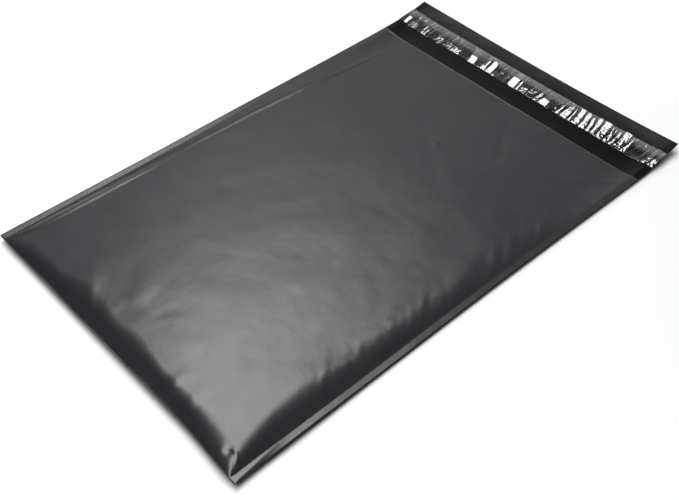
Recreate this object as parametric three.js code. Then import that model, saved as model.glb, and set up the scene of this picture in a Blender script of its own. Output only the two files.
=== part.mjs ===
// A mailing bag of co-extruded film: a pouch folded at the bottom and welded at both sides,
// with a flap that carries a strip of glue under a clear crinkled liner.
// The bag lies on its back, puffed with a little air. X runs across it, Y from the fold to the flap.
import * as THREE from "three";

// The web of film, in millimetres
const BAG_WIDTH = 250; // over both side welds
const BAG_LENGTH = 350; // from the bottom fold to the lip of the mouth
const FLAP_LENGTH = 45; // past the lip, along the film
const FILM = 0.07; // thickness of one layer
const WELD_WIDTH = 5; // band at each side where the two layers are one
const MOUTH_GAP = 0.5; // how far the lip stands off the film under it

// The air in the pouch
const PUFF_RIGHT = 6.5; // rise of the face over the seam at the fold, on the right
const PUFF_LEFT = 2.6; // and on the left
const PUFF_REACH = 250; // from the fold to where that rise has come down
const CROWN = 3.6; // further rise from the shoulders to the middle
const FOLD_SLOPE = 13.5; // widths of the slopes from the fold and from each weld up to the face
const RIGHT_SLOPE = 14;
const LEFT_SLOPE = 6.5;
const MOUTH_SLOPE = 24; // both side slopes at the mouth
const BACK_SLOPE = 20; // between a seam and the ground
const CORNER_REACH_RIGHT = 50; // how far each bottom corner is pinched
const CORNER_REACH_LEFT = 55;
const CORNER_FLOOR = 0.08; // share of the opening that is left at a corner itself
const MOUTH_REACH = 120; // where the face starts to come down to the lip
const MOUTH_TAPER = 0.25; // share of the puff that is left at the lip
const FULLNESS = 2.5; // how round the side slopes are: more is rounder
const FOLD_FULLNESS = 1.7;

// Folds of the film, drawn from place to place: distance from the left side, then from the fold
const RIDGE = [[3, 1], [8, 9], [12, 22], [13.6, 45], [14.2, 150], [16.2, 210], [18.6, 255]];
const RIDGE_HEIGHT = 0.6; // the long ridge beside the left weld
const RIDGE_HALF_WIDTH = 2.6;
const PLEAT = [[248.6, 0.3], [239.3, 10.7], [235.5, 11.3], [228.5, 5]];
const PLEAT_HEIGHT = 0.9; // the pleat over the right bottom corner
const PLEAT_HALF_WIDTH = 1.8;
const POCKET_PLACE = [233.8, 9]; // the pocket in the pleat
const POCKET_DEPTH = 1.5;
const POCKET_HALF_WIDTH = 3;

// Puckers: where each starts and dies out, its half width there, and its height or depth
const PUCKERS = [
  { start: [99, 8], end: [60, 42], halfWidth: 3.6, height: 0.6 },
  { start: [181, 7], end: [176, 34], halfWidth: 3, height: 0.5 },
  { start: [62, 10], end: [66, 30], halfWidth: 4.5, height: -0.4 },
  { start: [112, 32], end: [78, 84], halfWidth: 6, height: 0.42 },
  { start: [139, 46], end: [168, 84], halfWidth: 4.5, height: -0.32 },
  { start: [229.5, 132], end: [206, 96], halfWidth: 3.5, height: -0.5 },
  { start: [232, 98], end: [214, 66], halfWidth: 3.5, height: -0.4 },
  { start: [245, 255], end: [222, 284], halfWidth: 3.5, height: 0.5 },
  { start: [245, 299], end: [230, 318], halfWidth: 3.5, height: 0.5 },
  { start: [128, 277], end: [70, 250], halfWidth: 4.5, height: 0.3 },
  { start: [128, 277], end: [196, 238], halfWidth: 4.5, height: 0.4 },
];
const PUCKER_SPREAD = 1.6; // how much a pucker widens on its way

// The seams over the ground
const LIFT_CORNER = 4.5; // both bottom corners
const LIFT_RIGHT = 2.3; // the right seam along its middle
const LIFT_LEFT = 3.8; // and the left one
const LIFT_LIP = 2; // the ends of the lip
const CURL_RIGHT = 8; // the flap's corners
const CURL_LEFT = 6.4;
const CURL_MIDDLE = 5; // the middle of the flap's cut end
const CURL_BEND = 2; // how late along the flap it curls up

// How the air draws the outline in
const PULL_RIGHT = 1.6; // the right weld
const PULL_LEFT = 0.4;
const FOLD_PULL = 1.8;
const FOLD_PULL_INSET = 50; // its deepest place, from the right side

// The glue and its liner
const GLUE_START = 17.5; // from the lip, along the flap
const GLUE_WIDTH = 14;
const GLUE = 0.08;
const LINER_START = 16;
const LINER_WIDTH = 17;
const LINER = 0.05;
const LINER_CLEARANCE = 0.12; // between the lowest crinkles and what is under them
const CRINKLE = 1.3; // height of the crinkles
const CRINKLE_PITCH = 7.5;
const CRINKLE_SMALL = 0.3; // share of the height in the finer crinkles
const CRINKLE_FINER = 2.7; // how many of them go to one pitch
const CRINKLE_RISE = 0.25; // share of the liner's width in which they rise, from the edge next to the mouth
const CRINKLE_FALL = 0.45; // share of it in which they go down again, to the other edge
const CRINKLE_LEFT = 0.15; // share of the height that is left at both edges
const CRINKLE_WANDER = 4.5; // how far the crinkles stray from even spacing
const CRINKLE_SLANT = 2.6; // how far they lean from one edge of the liner to the other
const CRINKLE_SWAY = 25; // distance across over which the straying and the lean turn

// Mesh steps
const SHOULDER_WIDTH = 20; // beside the welds and the fold, where the mesh is finer
const SHOULDER_COLUMNS = 5;
const FACE_COLUMNS = 19;
const FOLD_ROWS = 5;
const FACE_ROWS = 25;
const GLUE_COLUMNS = 60;
const GLUE_ROWS = 2;
const LINER_COLUMNS = 110;
const LINER_ROWS = 4;
const FLAP_ROWS_BEFORE = 3; // on the flap, before the liner
const FLAP_ROWS_UNDER = 3;
const FLAP_ROWS_PAST = 2;

const HALF_WIDTH = BAG_WIDTH / 2;
const mix = THREE.MathUtils.lerp;
const ease = (value) => THREE.MathUtils.smoothstep(value, 0, 1);
const clamp = (value) => THREE.MathUtils.clamp(value, 0, 1);
const bell = (distance, halfWidth) => Math.exp(-((distance / halfWidth) ** 2));
const tooth = (turn) => 1 - Math.abs(2 * (turn - Math.floor(turn)) - 1);
const steps = (from, to, count) => Array.from({ length: count }, (_, i) => mix(from, to, i / count));

// Distance of a place from the nearest stretch of a line.
function distanceTo(line, across, along) {
  const place = new THREE.Vector3(across, along, 0);
  const nearest = new THREE.Vector3();
  const stretches = line.slice(1).map((end, i) => {
    const stretch = new THREE.Line3(new THREE.Vector3(...line[i], 0), new THREE.Vector3(...end, 0));
    return stretch.closestPointToPoint(place, true, nearest).distanceTo(place);
  });
  return Math.min(...stretches);
}

// How full the pouch is at a distance from its edge: steep at the seam, level past the slope.
const swell = (distance, width, fullness = FULLNESS) => 1 - (1 - clamp(distance / width)) ** fullness;

// How far a place is from the pinch of the bottom corners: 0 at a corner, 1 past its reach.
function open(across, along) {
  const right = swell(Math.hypot(BAG_WIDTH - across, along), CORNER_REACH_RIGHT);
  const left = swell(Math.hypot(across, along), CORNER_REACH_LEFT);
  return Math.max(CORNER_FLOOR, right * left);
}

// Distances of a place from the inner borders of the left and the right weld.
const toSides = (across) => [Math.max(0, across - WELD_WIDTH), Math.max(0, BAG_WIDTH - WELD_WIDTH - across)];

// Share of the face's full swell: 0 on the seams and the fold, 1 in the middle.
function faceFill(across, along) {
  const opening = open(across, along);
  const ahead = ease(along / BAG_LENGTH);
  const [left, right] = toSides(across);
  const atLeft = swell(left, mix(LEFT_SLOPE, MOUTH_SLOPE, ahead) * opening);
  const atRight = swell(right, mix(RIGHT_SLOPE, MOUTH_SLOPE, ahead) * opening);
  return atLeft * atRight * swell(along, FOLD_SLOPE * opening, FOLD_FULLNESS);
}

// Share of the back that lies on the ground: 0 on the seams and the fold, 1 in the middle.
function backFill(across, along) {
  const width = BACK_SLOPE * open(across, along);
  const [left, right] = toSides(across);
  return swell(left, width) * swell(right, width) * swell(along, width);
}

// Height of the seams, drawn on as a smooth sheet between them.
function seamHeight(across, along) {
  const middle = mix(LIFT_LEFT, LIFT_RIGHT, across / BAG_WIDTH);
  const belly = mix(LIFT_CORNER, middle, ease(along / MOUTH_REACH));
  return mix(belly, LIFT_LIP, ease((2 * along) / BAG_LENGTH - 1));
}

// Middle height of the back sheet and the flap.
function backHeight(across, along) {
  const inPouch = Math.min(along, BAG_LENGTH);
  const low = seamHeight(across, inPouch) * (1 - backFill(across, inPouch));
  const share = across / BAG_WIDTH;
  const corners = mix(CURL_LEFT, CURL_RIGHT, share);
  const cutEnd = mix(CURL_MIDDLE, corners, (2 * share - 1) ** 2);
  return mix(low, cutEnd, clamp((along - BAG_LENGTH) / FLAP_LENGTH) ** CURL_BEND);
}

// The long ridge at the left, and the pleat with its pocket at the right bottom corner.
function folds(across, along) {
  const ridge = RIDGE_HEIGHT * bell(distanceTo(RIDGE, across, along), RIDGE_HALF_WIDTH);
  const pleat = PLEAT_HEIGHT * bell(distanceTo(PLEAT, across, along), PLEAT_HALF_WIDTH);
  const [pocketAcross, pocketAlong] = POCKET_PLACE;
  const inside = Math.hypot(across - pocketAcross, along - pocketAlong);
  const pocket = POCKET_DEPTH * bell(inside, POCKET_HALF_WIDTH);
  return (ridge + pleat - pocket) * clamp(Math.min(...toSides(across), along) / PLEAT_HALF_WIDTH);
}

// A pucker is full at its start, and gets wider and lower towards its end.
function pucker({ start, end, halfWidth, height }, across, along) {
  const line = new THREE.Line3(new THREE.Vector3(...start, 0), new THREE.Vector3(...end, 0));
  const place = new THREE.Vector3(across, along, 0);
  const way = line.closestPointToPointParameter(place, true);
  const off = line.at(way, new THREE.Vector3()).distanceTo(place);
  return height * (1 - ease(way)) * bell(off, halfWidth * (1 + PUCKER_SPREAD * way));
}

// Middle height of the face sheet.
function faceHeight(across, along) {
  const share = across / BAG_WIDTH;
  const full = faceFill(across, along);
  const rise = mix(PUFF_LEFT, PUFF_RIGHT, share) + CROWN * Math.sin(Math.PI * share);
  const puff = rise * open(across, along) * mix(1, MOUTH_TAPER, ease(along / PUFF_REACH));
  const puckers = PUCKERS.reduce((sum, each) => sum + pucker(each, across, along), 0);
  const puffed = seamHeight(across, along) + full * (puff + puckers) + folds(across, along);
  const closed = backHeight(across, along) + MOUTH_GAP * full;
  return mix(puffed, closed, ease((along - BAG_LENGTH + MOUTH_REACH) / MOUTH_REACH));
}

// Place on the ground plan of a point given by its distances across and along the flat web.
function plan(across, along) {
  const bow = Math.sin(Math.PI * clamp(along / BAG_LENGTH));
  const drawn = bow * mix(PULL_LEFT, -PULL_RIGHT, across / BAG_WIDTH);
  const inset = BAG_WIDTH - across;
  const beyond = clamp((BAG_WIDTH - inset) / (BAG_WIDTH - FOLD_PULL_INSET));
  const pull = FOLD_PULL * (inset < FOLD_PULL_INSET ? ease(inset / FOLD_PULL_INSET) : beyond);
  const shortened = clamp((along - BAG_LENGTH) / FLAP_LENGTH) ** 2 * CURL_MIDDLE ** 2 / FLAP_LENGTH / 2;
  const y = along - shortened + pull * (1 - ease(along / BACK_SLOPE));
  return [across - HALF_WIDTH + drawn, y - BAG_LENGTH / 2];
}

// A sheet over rows and columns of the flat web, with the normal of each of its points.
class Sheet {
  constructor(height, rows, columns) {
    this.columns = columns.length;
    const points = rows.flatMap((along) =>
      columns.map((across) => {
        const [x, y] = plan(across, along);
        return new THREE.Vector3(x, y, height(across, along));
      }),
    );
    this.geometry = new THREE.BufferGeometry().setFromPoints(points);
    const corners = [];
    for (let a = 0; a + this.columns + 1 < points.length; a += 1) {
      const above = a + this.columns;
      if ((a + 1) % this.columns) corners.push(a, a + 1, above + 1, a, above + 1, above);
    }
    this.geometry.setIndex(corners);
    this.geometry.computeVertexNormals();
  }

  // One row of points, moved off the sheet along its normals.
  row(j, offset) {
    const { position, normal } = this.geometry.attributes;
    return Array.from({ length: this.columns }, (_, i) => {
      const at = j * this.columns + i;
      const out = new THREE.Vector3().fromBufferAttribute(normal, at);
      return new THREE.Vector3().fromBufferAttribute(position, at).addScaledVector(out, offset);
    });
  }
}

// Collects the points and faces of one closed surface.
class Surface {
  constructor() {
    this.points = [];
    this.faces = [];
  }

  // A row of points, given back as their numbers.
  row(points) {
    return points.map((point) => this.points.push(point) - 1);
  }

  // Faces between two rows, looking up when the first row is in front of the second.
  join(front, behind) {
    for (let i = 0; i + 1 < front.length; i += 1) {
      this.triangle(front[i], front[i + 1], behind[i + 1]);
      this.triangle(front[i], behind[i + 1], behind[i]);
    }
  }

  // The same faces looking down, split along the same diagonals, so that two layers never cross.
  joinUnder(front, behind) {
    for (let i = 0; i + 1 < front.length; i += 1) {
      this.triangle(front[i], behind[i + 1], front[i + 1]);
      this.triangle(front[i], behind[i], behind[i + 1]);
    }
  }

  triangle(a, b, c) {
    if (a !== b && b !== c && c !== a) this.faces.push(a, b, c);
  }

  geometry() {
    const geometry = new THREE.BufferGeometry().setFromPoints(this.points);
    geometry.setIndex(this.faces);
    geometry.computeVertexNormals();
    return geometry;
  }
}

// Distances across the web where its points lie: close together on the shoulders.
const inner = WELD_WIDTH + SHOULDER_WIDTH;
const innerColumns = [
  ...steps(WELD_WIDTH, inner, SHOULDER_COLUMNS),
  ...steps(inner, BAG_WIDTH - inner, FACE_COLUMNS),
  ...steps(BAG_WIDTH - inner, BAG_WIDTH - WELD_WIDTH, SHOULDER_COLUMNS),
  BAG_WIDTH - WELD_WIDTH,
];
const columns = [0, ...innerColumns, BAG_WIDTH];

// Distances from the fold, in the pouch and on the flap.
const pouchRows = [
  ...steps(0, SHOULDER_WIDTH, FOLD_ROWS),
  ...steps(SHOULDER_WIDTH, BAG_LENGTH, FACE_ROWS),
  BAG_LENGTH,
];
const flapRows = [
  ...steps(0, LINER_START, FLAP_ROWS_BEFORE),
  ...steps(LINER_START, LINER_START + LINER_WIDTH, FLAP_ROWS_UNDER),
  ...steps(LINER_START + LINER_WIDTH, FLAP_LENGTH, FLAP_ROWS_PAST),
  FLAP_LENGTH,
].map((distance) => BAG_LENGTH + distance);

const lastRow = (rows) => rows.length - 1;
const edge = (rows, end) => rows.map((row) => row.at(end));

function filmBag() {
  const film = new Surface();
  const webRows = [...pouchRows, ...flapRows.slice(1)];
  const lipRow = lastRow(pouchRows);
  const face = new Sheet(faceHeight, pouchRows, columns);
  const back = new Sheet(backHeight, webRows, columns);
  const faceOut = pouchRows.map((_, j) => film.row(face.row(j, FILM)));
  const backOut = webRows.map((_, j) => film.row(back.row(j, -FILM)));
  const flapIn = flapRows.map((_, j) => film.row(back.row(lipRow + j, 0)));

  // Inside the pouch the two layers meet along the fold and the welds, and part again at the lip.
  const crotch = film.row(back.row(0, 0).slice(1, -1));
  const backIn = [crotch];
  const faceIn = [crotch];
  for (let j = 1; j <= lipRow; j += 1) {
    const under = j < lipRow ? film.row(back.row(j, 0).slice(1, -1)) : flapIn[0].slice(1, -1);
    const over = film.row(face.row(j, 0).slice(2, -2));
    backIn.push(under);
    faceIn.push([under[0], ...over, under.at(-1)]);
  }

  // The round of the fold, and the cut sides of the welds and the flap.
  const nose = film.row(back.row(0, 0).map((point) => point.setY(point.y - FILM)));
  const side = (end) => [
    nose.at(end),
    ...film.row(pouchRows.slice(1, -1).map((_, j) => back.row(j + 1, 0).at(end))),
    ...edge(flapIn, end),
  ];
  const left = side(0);
  const right = side(-1);

  for (let j = 0; j < lipRow; j += 1) {
    film.join(faceOut[j], faceOut[j + 1]);
    film.joinUnder(faceIn[j], faceIn[j + 1]);
    film.join(backIn[j], backIn[j + 1]);
  }
  for (let j = 0; j < lastRow(backOut); j += 1) film.joinUnder(backOut[j], backOut[j + 1]);
  for (let j = 0; j < lastRow(flapIn); j += 1) film.join(flapIn[j], flapIn[j + 1]);
  film.join(nose, faceOut[0]);
  film.join(backOut[0], nose);
  film.join(edge(faceOut, 0), left.slice(0, pouchRows.length));
  film.join(right.slice(0, pouchRows.length), edge(faceOut, -1));
  film.join(left, edge(backOut, 0));
  film.join(edge(backOut, -1), right);
  film.join(faceOut.at(-1), [flapIn[0][0], ...faceIn.at(-1), flapIn[0].at(-1)]);
  film.join(flapIn.at(-1), backOut.at(-1));
  return film.geometry();
}

// A strip over the flap. Its lower side is lifted off the film, more or less from place to place.
function strip(start, width, thickness, columnCount, rowCount, lift) {
  const body = new Surface();
  const from = BAG_LENGTH + start;
  const rows = [...steps(from, from + width, rowCount), from + width];
  const across = [...steps(0, BAG_WIDTH, columnCount), BAG_WIDTH];
  const lifted = (place, along) => backHeight(place, along) + lift(place, along - BAG_LENGTH);
  const sheet = new Sheet(lifted, rows, across);
  const under = rows.map((_, j) => body.row(sheet.row(j, 0)));
  const over = rows.map((_, j) => body.row(sheet.row(j, thickness)));
  for (let j = 0; j < rowCount; j += 1) {
    body.join(over[j], over[j + 1]);
    body.joinUnder(under[j], under[j + 1]);
  }
  body.join(under[0], over[0]);
  body.join(over.at(-1), under.at(-1));
  body.join(edge(over, 0), edge(under, 0));
  body.join(edge(under, -1), edge(over, -1));
  return body.geometry();
}

// Sharp crinkles that slant across the liner, highest in its half next to the mouth.
function crinkle(across, distance) {
  const far = (distance - LINER_START) / LINER_WIDTH;
  const sway = across / CRINKLE_SWAY;
  const slant = CRINKLE_SLANT * far * Math.cos(sway);
  const turn = (across + CRINKLE_WANDER * Math.sin(sway) + slant) / CRINKLE_PITCH;
  const height = mix(tooth(turn), tooth(CRINKLE_FINER * turn), CRINKLE_SMALL);
  const blister = ease(far / CRINKLE_RISE) * ease((1 - far) / CRINKLE_FALL);
  return CRINKLE * height * mix(CRINKLE_LEFT, 1, blister);
}

const glueLift = () => LINER_CLEARANCE;
const linerLift = (across, distance) => 2 * LINER_CLEARANCE + GLUE + crinkle(across, distance);

const filmMaterial = new THREE.MeshStandardMaterial({ color: "#4b4b4e", roughness: 0.42, metalness: 0 });
const glueMaterial = new THREE.MeshStandardMaterial({ color: "#1d1d1f", roughness: 0.3, metalness: 0 });
const linerMaterial = new THREE.MeshStandardMaterial({
  color: "#c9cbce",
  roughness: 0.12,
  metalness: 0,
  transparent: true,
  opacity: 0.35,
});

function named(name, geometry, material) {
  const mesh = new THREE.Mesh(geometry, material);
  mesh.name = name;
  return mesh;
}

const mailer = new THREE.Group();
mailer.add(
  named("film_bag", filmBag(), filmMaterial),
  named(
    "adhesive_strip",
    strip(GLUE_START, GLUE_WIDTH, GLUE, GLUE_COLUMNS, GLUE_ROWS, glueLift),
    glueMaterial,
  ),
  named(
    "release_liner",
    strip(LINER_START, LINER_WIDTH, LINER, LINER_COLUMNS, LINER_ROWS, linerLift),
    linerMaterial,
  ),
);

// The origin is on the ground, under the middle of the bag's outline.
const outline = new THREE.Box3().setFromObject(mailer);
const middle = outline.getCenter(new THREE.Vector3());
mailer.children.forEach((mesh) => mesh.position.set(-middle.x, -middle.y, -outline.min.z));

export default mailer;
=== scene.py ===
"""A satin film mailing bag, puffed with a little air, with a glue flap under a clear liner."""
import math

import bmesh
import bpy
import numpy as np
from bpy.props import FloatProperty, IntProperty, PointerProperty, StringProperty
from mathutils import Matrix, Vector, noise


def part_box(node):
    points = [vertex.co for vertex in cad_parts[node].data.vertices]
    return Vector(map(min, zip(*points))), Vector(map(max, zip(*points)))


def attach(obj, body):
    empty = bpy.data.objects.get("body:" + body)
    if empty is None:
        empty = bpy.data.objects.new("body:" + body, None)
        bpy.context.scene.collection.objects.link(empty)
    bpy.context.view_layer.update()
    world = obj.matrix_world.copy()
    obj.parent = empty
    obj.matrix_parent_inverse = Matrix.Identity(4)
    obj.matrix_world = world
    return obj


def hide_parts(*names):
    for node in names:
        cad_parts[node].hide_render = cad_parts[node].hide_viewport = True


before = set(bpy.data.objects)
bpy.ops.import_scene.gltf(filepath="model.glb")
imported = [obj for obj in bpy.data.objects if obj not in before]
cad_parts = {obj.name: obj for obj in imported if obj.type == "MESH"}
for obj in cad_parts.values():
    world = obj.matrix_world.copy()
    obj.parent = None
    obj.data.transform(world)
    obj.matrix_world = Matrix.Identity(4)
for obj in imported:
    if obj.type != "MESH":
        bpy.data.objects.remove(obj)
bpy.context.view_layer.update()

bl_info = {
    "name": "Poly mailer bag",
    "version": (1, 0, 0),
    "blender": (4, 5, 0),
    "location": "3D View > Sidebar > Mailer",
    "description": "Builds a puffed film mailing bag with its glue strip and release liner",
    "category": "Add Mesh",
}

MM = 0.001
BODY = "root"
BAG_LOW, BAG_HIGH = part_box("film_bag")
SENSOR_WIDTH = 36  # of the camera, in millimetres
LAMP_SPREAD = 4  # an area lamp's power is this many times its radiance and its area
SPARE_CRINKLES = 1.2  # crinkles drawn, as a share of those that the narrowest would need
NOISE_LAYER = 0.5  # place in the noise at right angles to the web

# Places on the flat web, in millimetres from the left side and from the fold.
# These two are fine raised lines, which run from one place to the next.
CORNER_FOLD = (
    (248.6, 0.3),
    (244.0, 5.6),
    (239.3, 10.7),
    (235.5, 11.3),
    (232.0, 9.6),
    (228.5, 5.0),
)
LEFT_RIDGE = (
    (3.0, 1.0),
    (8.5, 9.0),
    (13.0, 22.0),
    (14.4, 45.0),
    (14.2, 70.0),
    (13.9, 100.0),
    (12.2, 150.0),
    (13.6, 205.0),
    (16.5, 250.0),
    (19.5, 290.0),
    (22.0, 345.0),
)
# A pucker starts at one place and dies out towards another, wider and lower on its way.
# The last two numbers are its half width where it starts and its height, or depth if negative.
PUCKERS = (
    # sent into the face by the shoulder of the fold
    ((100.0, 4.5), (62.0, 36.0), 3.2, 0.75),
    ((179.5, 7.0), (181.0, 32.0), 1.8, 0.4),
    ((197.5, 8.0), (192.0, 30.0), 2.2, 0.25),
    ((66.0, 10.0), (60.0, 26.0), 4.0, -0.35),
    # soft swellings behind them
    ((112.0, 34.0), (84.0, 84.0), 6.5, 0.32),
    ((118.0, 20.0), (126.0, 60.0), 8.0, -0.3),
    ((133.0, 38.0), (145.0, 64.0), 3.6, -0.25),
    # at the right seam
    ((229.5, 132.0), (206.0, 96.0), 2.6, -0.15),
    ((232.0, 98.0), (214.0, 66.0), 2.6, -0.25),
    ((245.0, 255.0), (222.0, 284.0), 1.7, 0.45),
    ((245.0, 279.0), (230.0, 298.0), 1.5, 0.35),
    ((245.5, 299.0), (230.0, 318.0), 1.6, 0.4),
    ((245.5, 313.0), (234.0, 326.0), 1.3, 0.3),
    ((245.0, 341.0), (226.0, 326.0), 1.7, 0.4),
    # long soft creases across the face, near the mouth
    ((128.0, 277.0), (70.0, 250.0), 3.8, 0.3),
    ((128.0, 277.0), (196.0, 238.0), 3.8, 0.4),
    ((171.0, 296.0), (128.0, 360.0), 2.8, -0.35),
)

# Where the liner is crinkled most, in millimetres: middle from the left side, half width
THICK_CRINKLES = ((96.0, 7.0), (180.0, 12.0), (202.0, 16.0), (221.0, 7.0))


def length(name, millimetres, description=""):
    """A size that the user can change, given in millimetres."""
    return FloatProperty(
        name=name,
        description=description or name,
        default=millimetres * MM,
        unit="LENGTH",
        precision=5,
    )


def number(name, value, description=""):
    """A plain number, such as an angle in degrees, a radiance or an exponent."""
    return FloatProperty(name=name, description=description or name, default=value)


def count(name, value):
    """A whole number."""
    return IntProperty(name=name, description=name, default=value, min=1)


def share(name, value, description=""):
    """A part of something else, where 1 is all of it."""
    return FloatProperty(
        name=name, description=description or name, default=value, subtype="FACTOR"
    )


def shade(name, code):
    """A colour."""
    return StringProperty(name=name, description=f"{name}, as an sRGB hex value", default=code)


class FilmSettings(bpy.types.PropertyGroup):
    """Sizes of the web of film and of the air in the pouch."""

    width: length("Width", (BAG_HIGH.x - BAG_LOW.x) / MM, "Over both side welds")
    pouch: length("Pouch length", 350, "From the bottom fold to the lip of the mouth")
    flap: length("Flap length", 45, "Past the lip, along the film")
    film: length("Film", 0.07, "Thickness of one layer")
    weld: length("Weld", 5, "Band at each side where the two layers are one")
    mouth_gap: length("Mouth gap", 0.5, "How far the lip stands off the film under it")

    puff_right: length("Rise on the right", 6.5, "Of the face over the seam, at the fold")
    puff_left: length("Rise on the left", 3.3, "Of the face over the seam, at the fold")
    puff_reach: length("Reach of the rise", 250, "Where it has come down to its share at the lip")
    crown: length("Crown", 3.6, "Further rise from the shoulders to the middle")
    fold_slope: length("Fold slope", 17, "Width of the slope from the fold to the face")
    right_slope: length("Right slope", 14, "Width of the slope from the right weld to the face")
    left_slope: length("Left slope", 7, "Width of the slope from the left weld to the face")
    mouth_slope: length("Mouth slope", 24, "Width of both side slopes at the mouth")
    back_slope: length("Back slope", 20, "Width of the slope from a seam to the ground")
    waver: share("Waver", 0.45, "How much the fold's and the right slope change in width")
    waver_pitch: length("Waver pitch", 42)
    reach_right: length("Right pinch", 50, "How far the right bottom corner is pinched")
    reach_left: length("Left pinch", 55, "How far the left bottom corner is pinched")
    corner_floor: share("Corner opening", 0.08, "Share of the opening left at a corner")
    mouth_reach: length("Mouth reach", 120, "Where the face starts to come down to the lip")
    mouth_taper: share("Mouth taper", 0.25, "Share of the rise left at the lip")
    fullness: number("Fullness", 2.5, "How round a slope is")
    left_fullness: number("Left fullness", 1.2, "How round the left slope is, by the fold")
    fold_fullness: number("Fold fullness", 2.15, "How round the fold's slope is")

    lift_corner: length("Corner lift", 4.5, "Height of the bottom corners")
    lift_right: length("Right lift", 2.3, "Height of the right seam along its middle")
    lift_left: length("Left lift", 3.8, "Height of the left seam along its middle")
    lift_lip: length("Lip lift", 2, "Height of the lip's ends")
    curl_right: length("Right curl", 8, "Height of the flap's right corner")
    curl_left: length("Left curl", 6.4, "Height of the flap's left corner")
    curl_middle: length("Middle curl", 5, "Height of the middle of the flap's cut end")
    curl_bend: number("Curl bend", 2, "How late the flap curls up")
    weld_tilt: length("Weld tilt", 0.7, "Of the left weld's cut edge over its inner border")
    droop: length("Droop", 2.4, "How steeply the right weld hangs, as its fall by the corner")
    droop_reach: length("Droop reach", 46, "Where the right weld is nearly level again")
    droop_start: share("Droop start", 0.2, "Share of the weld's width that hangs at the corner")
    droop_rest: share("Droop rest", 0.12, "Share of the droop left past its reach")

    pull_right: length("Right pull", 1.6, "How far the air draws the right weld in")
    pull_left: length("Left pull", 1, "How far the air draws the left weld in")
    fold_pull: length("Fold pull", 1.8, "How far the air draws the fold in")
    fold_pull_inset: length("Fold pull inset", 50, "Its deepest place, from the right side")

    ridge: length("Ridge", 0.34, "Height at the fold of the long ridge by the left weld")
    ridge_half_width: length("Ridge half width", 1.8)
    ridge_end: length("Ridge end", 90, "Where the ridge starts to die out, from the lip")
    corner_fold: length("Corner fold", 0.26, "Height of the fold over the right bottom corner")
    corner_fold_half_width: length("Corner fold half width", 0.7)
    pocket: length("Pocket", 0.7, "Depth of the pocket in that fold")
    pocket_half_width: length("Pocket half width", 3)
    spread: number("Spread", 1.6, "How much puckers widen on their way")
    lip_curl: length("Lip curl", 0.3, "Rise of the lip's cut edge")
    lip_band: length("Lip band", 1.4, "Width of the curled band of the lip")
    gather: length("Gathers", 0.32, "Height of the wrinkles that slant off the right weld")
    gather_pitch: length("Gather pitch", 7)
    gather_stretch: number("Gather stretch", 6, "How much longer than wide they are")
    gather_band: share("Gather band", 2 / 3, "Half width of their band, of the right slope")
    gather_start: length("Gather start", 45, "From the fold; they are full at twice that")
    sway: length("Unevenness", 0.25, "Height of the soft unevenness of the face")
    sway_pitch: length("Unevenness pitch", 34)
    finer: number("Finer unevenness", 3, "How many of its waves go to one pitch")
    finer_height: share("Finer height", 0.2, "Its height, of the soft unevenness")

    fine_band: length("Fine band", 24, "How far from the sides and the fold the mesh is finer")
    fine_step: length("Fine step", 0.7, "Mesh step in that band")
    coarse_step: length("Coarse step", 2.4, "Mesh step across the rest of the web")
    along_step: length("Step along", 1.75, "Mesh step along the rest of the face")
    under_step: length("Step under", 2.1, "Mesh step along the back, by the fold")
    back_step: length("Back step", 8, "Mesh step along the rest of the back")
    flap_step: length("Flap step", 1.25, "Mesh step along the flap")

    outside: shade("Outside", "#222226")
    inside: shade("Inside", "#0a0a0b")


class LinerSettings(bpy.types.PropertyGroup):
    """Sizes of the glue strip and of its crinkled liner."""

    glue_start: length("Glue start", 17.5, "From the lip, along the flap")
    glue_width: length("Glue width", 14)
    glue: length("Glue", 0.08, "Thickness of the glue")
    start: length("Liner start", 16, "From the lip, along the flap")
    width: length("Liner width", 17)
    liner: length("Liner", 0.05, "Thickness of the liner")
    clearance: length("Clearance", 0.12, "Under the glue, and under the lowest crinkles")
    crinkle: length("Crinkle", 2.4, "Height of the tallest crinkles")
    narrow: length("Narrowest crinkle", 3.2)
    wide: length("Widest crinkle", 9)
    side: length("Crinkle side", 0.9, "Width of a crinkle's steep side")
    slant: length("Slant", 7.5, "How far a crinkle leans at most from one edge to the other")
    slant_turn: number("Slant turn", 4, "Over how many of the widest crinkles the lean turns")
    ragged: share("Raggedness", 0.5, "Of a crinkle's side, as a share of its width")
    tallest: share("Tallest", 0.85, "Of the crinkles outside the thick groups")
    contrast: number("Contrast", 1.5, "How few of the crinkles are tall: more is fewer")
    peak_near: share("Nearest peak", 0.3, "From the edge by the mouth, as a share of the width")
    peak_far: share("Farthest peak", 0.55)
    peak_thick: share("Thick peak", 0.4, "How much farther the peaks of the thick groups are")
    wrinkle: length("Wrinkle", 0.07, "Height of the small wrinkles")
    wrinkle_pitch: length("Wrinkle pitch", 1.6)
    seed: count("Seed", 5)
    columns: count("Columns", 700)
    rows: count("Rows", 50)
    glue_columns: count("Glue columns", 120)
    glue_rows: count("Glue rows", 8)
    # Painted sheen: the share of light that a milky layer on the liner's flat far part scatters,
    # greying it in place of the flat film's reflection of the pale wall.
    painted_sheen: share("Haze", 0.12, "Share of light that the flat part of the liner scatters")
    clear: shade("Clear film", "#e6e8ea")
    glue_colour: shade("Glue colour", "#101011")


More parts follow.
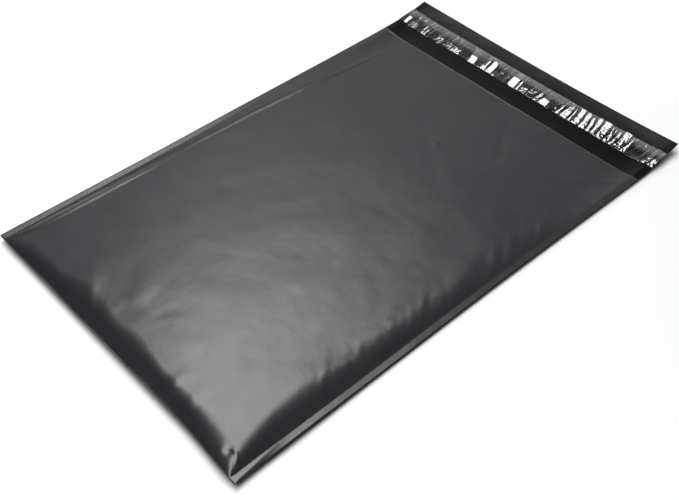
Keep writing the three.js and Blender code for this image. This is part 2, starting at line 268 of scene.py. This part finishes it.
class StageSettings(bpy.types.PropertyGroup):
    """Where the camera and the lamps are, found from the bag's corners in the photograph."""

    lens: number("Lens", 53.52, "Focal length in millimetres")
    elevation: number("Elevation", 46.7175, "Of the camera, in degrees")
    azimuth: number("Azimuth", 130.9162, "Of the camera, from +Y towards +X, in degrees")
    roll: number("Roll", -1.5145, "Of the camera, in degrees")
    distance: length("Distance", 654.97, "From the camera to the point it looks at")
    aim_across: length("Aim across", 33.03, "Of that point, from the bag's middle line")
    aim_along: length("Aim along", 157.35, "Of that point, from the bag's fold")

    floor: shade("Floor", "#f4f4f4")
    floor_side: length("Floor side", 12000)
    contact: length("Contact", 7, "How near the bag the floor darkens")
    tooth: length("Tooth", 0.02, "Height of the paper's tooth")
    tooth_pitch: length("Tooth pitch", 0.8)
    glow: number("Glow", 0.7, "Keeps the floor white to the camera, away from the bag")
    glow_near: length("Glow start", 200, "From the bag's middle")
    glow_far: length("Full glow", 700, "From the bag's middle")

    key_strength: number("Key", 5.66, "Radiance of the softbox")
    key_azimuth: number("Key azimuth", -129.4, "From +Y towards +X, in degrees")
    key_elevation: number("Key elevation", 78.3, "In degrees")
    key_distance: length("Key distance", 997, "From the softbox to the origin")
    key_length: length("Key length", 1681, "Long side of the softbox, towards the camera")
    key_width: length("Key width", 419, "Short side of the softbox")

    room_back: number("Back of the room", 0.8, "Radiance of the pale wall")
    room_front: number("Front of the room", 0.05, "Radiance on the camera's side")
    room_turn: number("Turn of the room", 20, "Of the pale wall to the left, in degrees")
    wall_end: number("End of the wall", -0.05, "Cosine of its angle from the wall's middle")
    wall_full: number("Full wall", 0.55, "Cosine of the angle inside which it is full")
    wall_foot: number("Foot of the wall", 0.1, "Sine of its elevation")
    wall_top: number("Top of the wall", 0.75, "Sine of its elevation")
    wall_blur: number("Blur of the wall", 0.3, "Of its foot and top")


def clamp(value):
    return np.clip(value, 0, 1)


def ease(value):
    return clamp(value) ** 2 * (3 - 2 * clamp(value))


def mix(low, high, part):
    return low + (high - low) * part


def bell(distance, half_width):
    return np.exp(-((distance / half_width) ** 2))


def distance_to_line(x, y, line):
    """Distance of each place from the nearest stretch of a line."""
    nearest = np.full(np.shape(x), np.inf)
    for (x1, y1), (x2, y2) in zip(line, line[1:]):
        size = math.hypot(x2 - x1, y2 - y1)
        right, ahead = (x2 - x1) / size, (y2 - y1) / size
        along = np.clip((x - x1) * right + (y - y1) * ahead, 0, size)
        nearest = np.minimum(nearest, np.hypot(x - x1 - along * right, y - y1 - along * ahead))
    return nearest


def unevenness(across, along, pitch):
    """Smooth noise between -1 and 1 over the flat web."""
    places = zip(across.ravel() / pitch, along.ravel() / pitch)
    values = [noise.noise(Vector((u, v, NOISE_LAYER))) for u, v in places]
    return np.array(values).reshape(across.shape)


class FilmForm:
    """Where each place of the flat web lies on the puffed bag. Places are arrays, in metres."""

    def __init__(self, settings):
        for name in settings.__annotations__:
            setattr(self, name, getattr(settings, name))

    def swell(self, distance, width, fullness=None):
        """How full the pouch is at a distance from its edge: 0 at the seam, 1 past the slope."""
        power = self.fullness if fullness is None else fullness
        return 1 - (1 - clamp(distance / width)) ** power

    def opening(self, across, along):
        """0 at a bottom corner, 1 past the reach of its pinch."""
        right = self.swell(np.hypot(self.width - across, along), self.reach_right)
        left = self.swell(np.hypot(across, along), self.reach_left)
        return np.maximum(self.corner_floor, right * left)

    def to_sides(self, across):
        """Distances to the inner borders of the left and the right weld."""
        return np.maximum(0, across - self.weld), np.maximum(0, self.width - self.weld - across)

    def back_fill(self, across, along):
        """Share of the back that lies on the ground: 0 on the seams and fold, 1 in the middle."""
        width = self.back_slope * self.opening(across, along)
        left, right = self.to_sides(across)
        return self.swell(left, width) * self.swell(right, width) * self.swell(along, width)

    def face_fill(self, across, along):
        """Share of the face's full swell: 0 on the seams and the fold, 1 in the middle."""
        opening = self.opening(across, along)
        left, right = self.to_sides(across)
        ahead = ease(along / self.pouch)
        width = mix(self.left_slope, self.mouth_slope, ahead) * opening
        at_left = self.swell(left, width, mix(self.left_fullness, self.fullness, ahead))
        waver = 1 + self.waver * unevenness(np.zeros_like(across), along, self.waver_pitch)
        width = mix(self.right_slope, self.mouth_slope, ahead) * opening * waver
        at_right = self.swell(right, width)
        waver = 1 + self.waver * unevenness(across, np.zeros_like(along), self.waver_pitch)
        at_fold = self.swell(along, self.fold_slope * opening * waver, self.fold_fullness)
        return at_left * at_right * at_fold

    def brim(self, across, along):
        """Rise of the left weld towards its cut edge, and droop of the right one by the corner."""
        left = self.weld_tilt * (1 - clamp(across / self.weld)) * (1 - ease(along / self.pouch))
        level = ease(along / self.droop_reach)
        hanging = mix(self.droop_start, 1, level)
        droop = hanging * self.droop * mix(1, self.droop_rest, level) * ease(along / self.weld)
        droop = droop * (1 - self.past_middle(along))
        return left - droop * (1 - clamp((self.width - across) / (self.weld * hanging)))

    def past_middle(self, along):
        """0 up to the middle of the pouch, 1 at the lip."""
        return ease(2 * along / self.pouch - 1)

    def seam_height(self, across, along):
        """Height of both welds, and between them of a straight line from one to the other."""
        middle = mix(self.lift_left, self.lift_right, across / self.width)
        belly = mix(self.lift_corner, middle, ease(along / self.mouth_reach))
        return mix(belly, self.lift_lip, self.past_middle(along))

    def back_height(self, across, along):
        """Height of the back sheet and of the flap."""
        in_pouch = np.minimum(along, self.pouch)
        low = self.seam_height(across, in_pouch) * (1 - self.back_fill(across, in_pouch))
        low = low + self.brim(across, in_pouch)
        side = across / self.width
        corners = mix(self.curl_left, self.curl_right, side)
        cut_end = mix(self.curl_middle, corners, (2 * side - 1) ** 2)
        return mix(low, cut_end, clamp((along - self.pouch) / self.flap) ** self.curl_bend)

    def folds(self, across, along):
        """The fold and the pocket at the right bottom corner, and the long ridge at the left."""
        off_ridge = distance_to_line(across / MM, along / MM, LEFT_RIDGE) * MM
        fading = 1 - ease((along - self.pouch + self.ridge_end) / self.ridge_end)
        ridge = self.ridge * (1 + along / self.pouch) * fading
        total = ridge * bell(off_ridge, self.ridge_half_width)
        off_fold = distance_to_line(across / MM, along / MM, CORNER_FOLD) * MM
        total = total + self.corner_fold * bell(off_fold, self.corner_fold_half_width)
        # The pocket lies inside the bend, in the middle of the fold's last four places.
        x, y = (np.mean([place[i] for place in CORNER_FOLD[2:]]) * MM for i in (0, 1))
        off_pocket = np.hypot(across - x, along - y)
        total = total - self.pocket * bell(off_pocket, self.pocket_half_width)
        left, right = self.to_sides(across)
        from_edge = np.minimum(np.minimum(left, right), along)
        return total * clamp(from_edge / self.corner_fold_half_width)

    def relief(self, across, along):
        """Soft unevenness of the face, gathers at its right side, and puckers."""
        total = self.sway * unevenness(across, along, self.sway_pitch)
        finer = unevenness(across, along, self.sway_pitch / self.finer)
        total = total + self.sway * self.finer_height * finer
        inset = self.width - across
        slanted = unevenness(along - inset, inset / self.gather_stretch, self.gather_pitch)
        beside = bell(inset - self.right_slope, self.right_slope * self.gather_band)
        total = total + self.gather * slanted * beside * ease(along / self.gather_start - 1)
        for (x1, y1), (x2, y2), half_width, height in PUCKERS:
            size = math.hypot(x2 - x1, y2 - y1)
            right, ahead = (x2 - x1) / size, (y2 - y1) / size
            dx, dy = across / MM - x1, along / MM - y1
            way = clamp((dx * right + dy * ahead) / size)
            off = np.hypot(dx * ahead - dy * right, way * size - dx * right - dy * ahead)
            form = bell(off, half_width * (1 + self.spread * way))
            total = total + height * MM * (1 - ease(way)) * form
        return total

    def face_height(self, across, along):
        """Height of the front, which comes down onto the back at the mouth."""
        side = across / self.width
        full = self.face_fill(across, along)
        puff = mix(self.puff_left, self.puff_right, side) + self.crown * np.sin(np.pi * side)
        puff = puff * mix(1, self.mouth_taper, ease(along / self.puff_reach))
        puffed = self.seam_height(across, along) + full * puff * self.opening(across, along)
        shut = self.back_height(across, along) + self.mouth_gap * full
        to_lip = self.pouch - along
        height = mix(puffed, shut, ease(1 - to_lip / self.mouth_reach))
        height = height + full * self.relief(across, along) + self.folds(across, along)
        lip = self.lip_curl * clamp(1 - to_lip / self.lip_band) ** 2
        return height + self.brim(across, along) + lip

    def plan(self, across, along):
        """Place on the ground plan: the air draws the welds and the fold in, the curl the flap."""
        bow = np.sin(np.pi * clamp(along / self.pouch))
        pull = mix(self.pull_left, -self.pull_right, across / self.width)
        x = across - self.width / 2 + bow * pull
        inset = self.width - across
        near = ease(inset / self.fold_pull_inset)
        beyond = clamp(across / (self.width - self.fold_pull_inset))
        pull = self.fold_pull * np.where(inset < self.fold_pull_inset, near, beyond)
        curled = clamp((along - self.pouch) / self.flap) ** 2 * self.curl_middle**2 / self.flap / 2
        y = BAG_LOW.y + along - curled + pull * (1 - ease(along / self.back_slope))
        return x, y

    def points(self, across, along, height):
        """Points over the ground plan at a height above the lowest film."""
        x, y = self.plan(across, along)
        return np.stack((x, y, height + self.film), axis=-1)

    def web(self, across, web_along):
        """Points of the one web. It runs from the lip, at minus the pouch's length, to the flap."""
        along = np.abs(web_along)
        face = self.face_height(across, np.minimum(along, self.pouch)) + self.film
        back = self.back_height(across, along) - self.film
        return self.points(across, along, np.where(web_along < 0, face, back))


def marks(*stretches):
    """Places along a side: each stretch is its start, its end and the step to keep under."""
    places = []
    for start, end, step in stretches:
        places += np.linspace(start, end, math.ceil((end - start) / step), endpoint=False).tolist()
    return np.array([*places, stretches[-1][1]])


def grid(columns, rows):
    """A flat grid whose corners are at 0 and 1."""
    mesh = bmesh.new()
    bmesh.ops.create_grid(mesh, x_segments=columns, y_segments=rows, size=0.5)
    low_x = min(v.co.x for v in mesh.verts)
    low_y = min(v.co.y for v in mesh.verts)
    side_x = max(v.co.x for v in mesh.verts) - low_x
    side_y = max(v.co.y for v in mesh.verts) - low_y
    for vert in mesh.verts:
        vert.co = ((vert.co.x - low_x) / side_x, (vert.co.y - low_y) / side_y, 0)
    return mesh


def lay(mesh, layer_name, first, second, points):
    """Gives each vertex its flat place as its UV, and moves it to its point."""
    layer = mesh.loops.layers.uv.new(layer_name)
    for face in mesh.faces:
        for loop in face.loops:
            loop[layer].uv = (first[loop.vert.index], second[loop.vert.index])
    for vert, point in zip(mesh.verts, points):
        vert.co = point


def thicken(piece, thickness):
    """Makes a closed film out of a sheet, inwards from its outer face."""
    wall = piece.modifiers.new("Wall", "SOLIDIFY")
    wall.thickness = thickness
    wall.offset = -1
    return wall


def to_object(mesh, name, materials):
    """A smooth object made of a bmesh."""
    data = bpy.data.meshes.new(name)
    mesh.to_mesh(data)
    mesh.free()
    data.polygons.foreach_set("use_smooth", [True] * len(data.polygons))
    piece = bpy.data.objects.new(name, data)
    bpy.context.scene.collection.objects.link(piece)
    for material in materials:
        data.materials.append(material)
    return piece


def linear(code):
    """An sRGB hex value as linear red, green, blue and alpha."""
    parts = np.array([int(code[i : i + 2], 16) / 255 for i in (1, 3, 5)])
    bent = ((parts + 0.055) / 1.055) ** 2.4
    return (*np.where(parts <= 0.04045, parts / 12.92, bent).tolist(), 1.0)


def add_node(tree, kind, settings=None, **links):
    """Adds a node; settings are its properties and sockets, links its inputs from other nodes."""
    node = tree.nodes.new(kind)
    for name, value in (settings or {}).items():
        if isinstance(name, str) and hasattr(node, name):
            setattr(node, name, value)
        else:
            node.inputs[name].default_value = value
    for name, source in links.items():
        tree.links.new(source, node.inputs[int(name) if name.isdigit() else name.replace("_", " ")])
    return node


def blank_material(name):
    material = bpy.data.materials.new(name)
    material.use_nodes = True
    material.node_tree.nodes.clear()
    return material


def surface_relief(tree, place, layers):
    """The normal of some layers of noise together, and the noise of each, from 0 to 1.

    A layer is its pitch and its height in metres, its detail, and how often it repeats along the
    piece for each time across. That is under 1 where the noise is drawn out into lines.
    """
    normal, noises = None, []
    for pitch, height, detail, repeats in layers:
        settings = {"operation": "MULTIPLY", 1: (1, repeats, 1)}
        vector = add_node(tree, "ShaderNodeVectorMath", settings, **{"0": place}).outputs["Vector"]
        settings = {"Scale": 1 / pitch, "Detail": detail}
        noises.append(add_node(tree, "ShaderNodeTexNoise", settings, Vector=vector).outputs["Fac"])
        links = {"Height": noises[-1], **({"Normal": normal} if normal else {})}
        settings = {"Strength": 1.0, "Distance": height}
        normal = add_node(tree, "ShaderNodeBump", settings, **links).outputs["Normal"]
    return normal, noises


def white_floor(s):
    """Matt white paper sweep, with a soft contact shade. A glow for the camera keeps it white."""
    material = blank_material("white_floor")
    tree = material.node_tree
    place = add_node(tree, "ShaderNodeTexCoord").outputs["Object"]
    tooth, _ = surface_relief(tree, place, [(s.tooth_pitch, s.tooth, 2, 1)])
    settings = {"Distance": s.contact, "Color": linear(s.floor)}
    shaded = add_node(tree, "ShaderNodeAmbientOcclusion", settings).outputs["Color"]
    paper = add_node(tree, "ShaderNodeBsdfDiffuse", Color=shaded, Normal=tooth)
    seen = add_node(tree, "ShaderNodeLightPath").outputs["Is Camera Ray"]
    away = add_node(tree, "ShaderNodeVectorMath", {"operation": "LENGTH"}, **{"0": place})
    settings = {
        "interpolation_type": "SMOOTHSTEP",
        "From Min": s.glow_near,
        "From Max": s.glow_far,
        "To Max": s.glow,
    }
    glow = add_node(tree, "ShaderNodeMapRange", settings, Value=away.outputs["Value"])
    links = {"0": seen, "1": glow.outputs["Result"]}
    shown = add_node(tree, "ShaderNodeMath", {"operation": "MULTIPLY"}, **links)
    light = add_node(tree, "ShaderNodeEmission", Strength=shown.outputs["Value"])
    links = {"0": paper.outputs["BSDF"], "1": light.outputs["Emission"]}
    both = add_node(tree, "ShaderNodeAddShader", **links)
    add_node(tree, "ShaderNodeOutputMaterial", Surface=both.outputs["Shader"])
    return material


def polyethylene_film(name, colour, roughness, level, uv="web"):
    """Blown polyethylene film: satin, with die lines along the web, fine grain and mottle."""
    material = blank_material(name)
    tree = material.node_tree
    place = add_node(tree, "ShaderNodeUVMap", {"uv_map": uv}).outputs["UV"]
    layers = (
        (30 * MM, 0.3 * MM, 4, 1),  # clouds
        (14 * MM, 0.14 * MM, 3, 1),  # mottle
        (1.1 * MM, 0.006 * MM, 2, 0.02),  # die lines
        (0.9 * MM, 0.012 * MM, 2, 1),  # grain, which is drawn as coarse as it needs to show
    )
    normal, noises = surface_relief(tree, place, layers)
    mottle = noises[1]
    change = 0.02  # of the roughness, to both sides, with the mottle
    settings = {
        "From Min": 0.3,
        "From Max": 0.7,
        "To Min": roughness - change,
        "To Max": roughness + change,
    }
    rough = add_node(tree, "ShaderNodeMapRange", settings, Value=mottle).outputs["Result"]
    settings = {"Base Color": linear(colour), "IOR": 1.51, "Specular IOR Level": level}
    skin = add_node(tree, "ShaderNodeBsdfPrincipled", settings, Roughness=rough, Normal=normal)
    add_node(tree, "ShaderNodeOutputMaterial", Surface=skin.outputs["BSDF"])
    return material


def clear_film(name, colour, painted_sheen):
    """Cast liner film: clear and glossy, with a painted sheen on its far half, where it lies flat:
    a milky layer greys it there in place of a reflection.
    """
    material = blank_material(name)
    tree = material.node_tree
    place = add_node(tree, "ShaderNodeUVMap", {"uv_map": "strip"}).outputs["UV"]
    far = add_node(tree, "ShaderNodeSeparateXYZ", Vector=place).outputs["Y"]
    # The second place is 0 to 1 over the strip's width, so the blotches are as long as that.
    pitch = 6 * MM
    settings = {"operation": "MULTIPLY", 1: (1, pitch, 1)}
    vector = add_node(tree, "ShaderNodeVectorMath", settings, **{"0": place}).outputs["Vector"]
    settings = {"Scale": 1 / pitch, "Detail": 3}
    blotch = add_node(tree, "ShaderNodeTexNoise", settings, Vector=vector).outputs["Fac"]
    blotchy = 0.5  # how far the blotches shift the painted sheen's border, as a share of the width
    settings = {"operation": "MULTIPLY_ADD", 1: blotchy}
    uneven = add_node(tree, "ShaderNodeMath", settings, **{"0": blotch, "2": far})
    settings = {
        "interpolation_type": "SMOOTHSTEP",
        "From Min": 0.72,
        "From Max": 1.05,
        "To Max": painted_sheen,
    }
    # Painted sheen: where this mask is high, a milky diffuse layer is mixed in, greying the flat
    # far part in place of its reflection.
    painted_sheen_mask = add_node(tree, "ShaderNodeMapRange", settings, Value=uneven.outputs["Value"])
    clear = {
        "Base Color": linear(colour),
        "Roughness": 0.1,
        "IOR": 1.5,
        "Specular IOR Level": 1.0,
        "Transmission Weight": 1.0,
        "Coat Weight": 1.0,
        "Coat Roughness": 0.05,
    }
    skin = add_node(tree, "ShaderNodeBsdfPrincipled", clear)
    painted_sheen_layer = add_node(tree, "ShaderNodeBsdfDiffuse", {"Color": linear(colour)})
    links = {"0": painted_sheen_mask.outputs["Result"], "1": skin.outputs["BSDF"], "2": painted_sheen_layer.outputs["BSDF"]}
    both = add_node(tree, "ShaderNodeMixShader", **links)
    add_node(tree, "ShaderNodeOutputMaterial", Surface=both.outputs["Shader"])
    return material


def direction(azimuth, elevation):
    """A unit vector, from degrees off +Y towards +X and degrees above the floor."""
    azimuth, elevation = math.radians(azimuth), math.radians(elevation)
    level = math.cos(elevation)
    return Vector((math.sin(azimuth) * level, math.cos(azimuth) * level, math.sin(elevation)))


def stand(name, data, place, back, roll=0):
    """Puts a camera or a lamp at a place. Back is the direction that it looks away from."""
    right = Vector((0, 0, 1)).cross(back).normalized()
    right = math.cos(roll) * right + math.sin(roll) * back.cross(right)
    piece = bpy.data.objects.new(name, data)
    bpy.context.scene.collection.objects.link(piece)
    turn = Matrix((right, back.cross(right), back)).transposed().to_4x4()
    piece.matrix_world = Matrix.Translation(place) @ turn
    return piece


class MAILER_OT_film_bag(bpy.types.Operator):
    """Make the one web of film, folded and welded into a puffed pouch with a flap"""

    bl_idname = "mailer.film_bag"
    bl_label = "Film bag"

    def execute(self, context):
        s = context.scene.mailer_film
        band = s.fine_band
        columns = marks(
            (0, band, s.fine_step),
            (band, s.width - band, s.coarse_step),
            (s.width - band, s.width, s.fine_step),
        )
        rows = marks(
            (-s.pouch, -s.pouch + s.lip_band, s.fine_step),
            (-s.pouch + s.lip_band, -band, s.along_step),
            (-band, 0, s.fine_step),
            (0, band, s.under_step),
            (band, s.pouch, s.back_step),
            (s.pouch, s.pouch + s.flap, s.flap_step),
        )
        mesh = grid(len(columns) - 1, len(rows) - 1)
        across = np.array([columns[round(v.co.x * (len(columns) - 1))] for v in mesh.verts])
        web_along = np.array([rows[round(v.co.y * (len(rows) - 1))] for v in mesh.verts])
        lay(mesh, "web", across, web_along, FilmForm(s).web(across, web_along))
        bmesh.ops.reverse_faces(mesh, faces=mesh.faces)
        # The outside's soft sheen spreads the lamp over the whole face. The inside is darker and
        # keeps its highlights small, so the flap looks black next to it.
        films = [
            polyethylene_film("satin_film", s.outside, roughness=0.32, level=0.65),
            polyethylene_film("black_film", s.inside, roughness=0.28, level=0.16),
        ]
        piece = to_object(mesh, "film_bag_web", films)
        thicken(piece, s.film).material_offset = 1
        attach(piece, BODY)
        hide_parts("film_bag")
        return {"FINISHED"}


class MAILER_OT_glue_and_liner(bpy.types.Operator):
    """Make the glue strip on the flap and the crinkled liner over it"""

    bl_idname = "mailer.glue_and_liner"
    bl_label = "Glue and liner"

    def execute(self, context):
        film = context.scene.mailer_film
        s = context.scene.mailer_liner
        form = FilmForm(film)
        mesh = grid(s.glue_columns, s.glue_rows)
        across, far = self.flat(mesh, film)
        along = film.pouch + s.glue_start + far * s.glue_width
        height = form.back_height(across, along) + s.clearance + s.glue
        lay(mesh, "strip", across, along, form.points(across, along, height))
        # Hot melt is smoother than the film, so the clear liner over it looks wet and deep.
        glue_film = polyethylene_film(
            "hot_melt", s.glue_colour, roughness=0.25, level=0.4, uv="strip"
        )
        glue = to_object(mesh, "glue_strip", [glue_film])
        thicken(glue, s.glue)
        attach(glue, BODY)
        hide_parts("adhesive_strip")

        mesh = grid(s.columns, s.rows)
        across, far = self.flat(mesh, film)
        along = film.pouch + s.start + far * s.width
        height = form.back_height(across, along) + s.glue + s.liner + 2 * s.clearance
        height = height + self.crinkles(s, across, far)
        lay(mesh, "strip", across, far, form.points(across, along, height))
        # Clear, hard film sparkles on its crinkles. Where it lies flat on the glue, a painted sheen
        # greys it.
        liner = to_object(mesh, "crinkled_liner", [clear_film("clear_liner", s.clear, s.painted_sheen)])
        thicken(liner, s.liner)
        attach(liner, BODY)
        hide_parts("release_liner")
        return {"FINISHED"}

    def flat(self, mesh, film):
        """Its vertices: metres across the bag, and 0 to 1 from the mouth to the flap's end."""
        across = np.array([vert.co.x * film.width for vert in mesh.verts])
        return across, np.array([vert.co.y for vert in mesh.verts])

    def crinkles(self, s, across, far):
        """Rise of the liner: crinkles with steep sides, tallest near its edge by the mouth."""
        chance = np.random.default_rng(s.seed)
        drawn = math.ceil(SPARE_CRINKLES * np.max(across) / s.narrow)
        ends = np.cumsum(chance.uniform(s.narrow, s.wide, drawn)) - 2 * s.wide
        tall, reach = chance.uniform(0, 1, (2, drawn))
        lean = s.slant * (far - 0.5) * unevenness(across, far * s.width, s.slant_turn * s.wide)
        fray = s.ragged * s.side * unevenness(across, far * s.width, s.narrow)
        place = across + lean + fray
        crinkle = np.clip(np.searchsorted(ends, place) - 1, 0, drawn - 2)
        to_side = np.minimum(place - ends[crinkle], ends[crinkle + 1] - place)
        thick = sum(bell(across - middle * MM, half * MM) for middle, half in THICK_CRINKLES)
        height = clamp(s.tallest * tall[crinkle] + thick) ** s.contrast * ease(to_side / s.side)
        peak = mix(s.peak_near, s.peak_far, reach[crinkle]) + s.peak_thick * clamp(thick)
        rise = np.where(far < peak, far / peak, (1 - far) / (1 - peak))
        small = s.wrinkle * (1 + unevenness(across, far * s.width, s.wrinkle_pitch))
        return s.crinkle * height * rise + small


class MAILER_OT_stage(bpy.types.Operator):
    """Make the camera, the pale floor and the soft studio light"""

    bl_idname = "mailer.stage"
    bl_label = "Stage"

    def execute(self, context):
        s = context.scene.mailer_stage
        scene = context.scene
        scene.view_settings.view_transform = "Standard"
        scene.camera = self.camera(s)
        mesh = grid(1, 1)
        for vert in mesh.verts:
            vert.co = ((vert.co.x - 0.5) * s.floor_side, (vert.co.y - 0.5) * s.floor_side, 0)
        floor = to_object(mesh, "floor", [white_floor(s)])
        self.softbox(s)
        scene.world = self.room(s)
        return {"FINISHED"}

    def camera(self, s):
        """The photograph's camera."""
        data = bpy.data.cameras.new("camera")
        data.lens = s.lens
        data.sensor_width = SENSOR_WIDTH
        data.dof.use_dof = False
        back = direction(s.azimuth, s.elevation)
        aim = Vector((s.aim_across, s.aim_along + BAG_LOW.y, 0))
        return stand("camera", data, aim + back * s.distance, back, math.radians(s.roll))

    def softbox(self, s):
        """A long softbox over the bag."""
        data = bpy.data.lights.new("softbox", "AREA")
        data.shape = "RECTANGLE"
        data.size, data.size_y = s.key_length, s.key_width
        data.energy = LAMP_SPREAD * s.key_strength * s.key_length * s.key_width
        back = direction(s.key_azimuth, s.key_elevation)
        stand("softbox", data, back * s.key_distance, back)

    def room(self, s):
        """A dim room with one pale wall behind the bag, which is soft at its foot, top and ends."""
        world = bpy.data.worlds.new("room")
        world.use_nodes = True
        tree = world.node_tree
        tree.nodes.clear()
        outward = add_node(tree, "ShaderNodeTexCoord").outputs["Generated"]
        turn = math.radians(s.room_turn)
        settings = {"operation": "DOT_PRODUCT", 1: (-math.sin(turn), math.cos(turn), 0)}
        ahead = add_node(tree, "ShaderNodeVectorMath", settings, **{"0": outward})
        height = add_node(tree, "ShaderNodeSeparateXYZ", Vector=outward).outputs["Z"]
        borders = (
            (height, s.wall_top, s.wall_top - s.wall_blur),
            (height, s.wall_foot, s.wall_foot + s.wall_blur),
            (ahead.outputs["Value"], s.wall_end, s.wall_full),
        )
        lit = None
        for place, outside, inside in borders:
            settings = {"interpolation_type": "SMOOTHSTEP", "From Min": outside, "From Max": inside}
            within = add_node(tree, "ShaderNodeMapRange", settings, Value=place)
            links = {"0": within.outputs["Result"], **({"1": lit} if lit else {})}
            settings = {"operation": "MULTIPLY", 1: 1.0}
            lit = add_node(tree, "ShaderNodeMath", settings, **links).outputs["Value"]
        settings = {"To Min": s.room_front, "To Max": s.room_back}
        radiance = add_node(tree, "ShaderNodeMapRange", settings, Value=lit).outputs["Result"]
        white = {"Color": (1, 1, 1, 1)}
        light = add_node(tree, "ShaderNodeBackground", white, Strength=radiance)
        add_node(tree, "ShaderNodeOutputWorld", Surface=light.outputs["Background"])
        return world


class MAILER_PT_panel(bpy.types.Panel):
    """Lists the steps that build the bag"""

    bl_label = "Mailer bag"
    bl_idname = "MAILER_PT_panel"
    bl_space_type = "VIEW_3D"
    bl_region_type = "UI"
    bl_category = "Mailer"

    def draw(self, context):
        for step in STEPS:
            self.layout.operator(step.bl_idname)


# The steps run in this order.
STEPS = (MAILER_OT_film_bag, MAILER_OT_glue_and_liner, MAILER_OT_stage)
GROUPS = {
    "mailer_film": FilmSettings,
    "mailer_liner": LinerSettings,
    "mailer_stage": StageSettings,
}
CLASSES = (*GROUPS.values(), *STEPS, MAILER_PT_panel)


def register():
    for cls in CLASSES:
        bpy.utils.register_class(cls)
    for name, group in GROUPS.items():
        setattr(bpy.types.Scene, name, PointerProperty(type=group))


def unregister():
    for name in GROUPS:
        delattr(bpy.types.Scene, name)
    for cls in reversed(CLASSES):
        bpy.utils.unregister_class(cls)


def main():
    register()
    bpy.ops.mailer.film_bag()
    bpy.ops.mailer.glue_and_liner()
    bpy.ops.mailer.stage()


if __name__ == "__main__":
    main()
